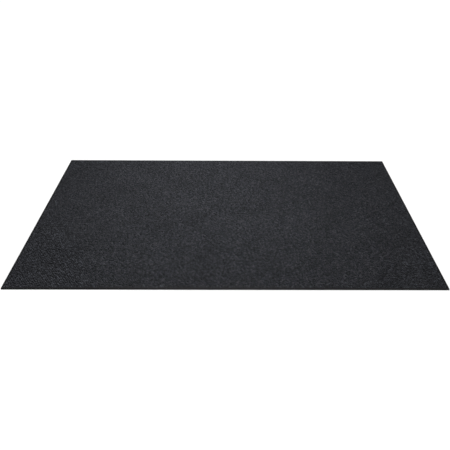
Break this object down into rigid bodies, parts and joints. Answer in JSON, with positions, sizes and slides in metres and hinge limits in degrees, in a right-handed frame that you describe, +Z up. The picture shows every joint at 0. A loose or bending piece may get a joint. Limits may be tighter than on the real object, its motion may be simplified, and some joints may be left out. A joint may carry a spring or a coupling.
{
  "type": "door mat",
  "caption": "Low-profile rectangular charcoal loop pile entrance mat on a flexible vinyl backing, with slim mitred black edge strips.",
  "frame": {"origin": "on the floor, under the middle of the mat", "axes": "+X along the long side, to the right seen from the front; +Y towards the rear long side; +Z up out of the pile"},
  "size_m": [0.9, 0.6, 0.0055],
  "materials": {
    "backing_vinyl": "matt embossed vinyl",
    "latex": "matt filled latex",
    "woven_cloth": "plain woven flat tape yarn",
    "pile_yarn": "matt charcoal looped yarn with lighter and darker fibres",
    "strip_vinyl": "satin extruded vinyl"
  },
  "bodies": {
    "root": {"backing_sheet": "backing_vinyl", "latex_precoat": "latex", "primary_backing_cloth": "woven_cloth", "loop_pile": "pile_yarn", "front_edge_strip": "strip_vinyl", "rear_edge_strip": "strip_vinyl", "left_edge_strip": "strip_vinyl", "right_edge_strip": "strip_vinyl"}
  },
  "joints": []
}
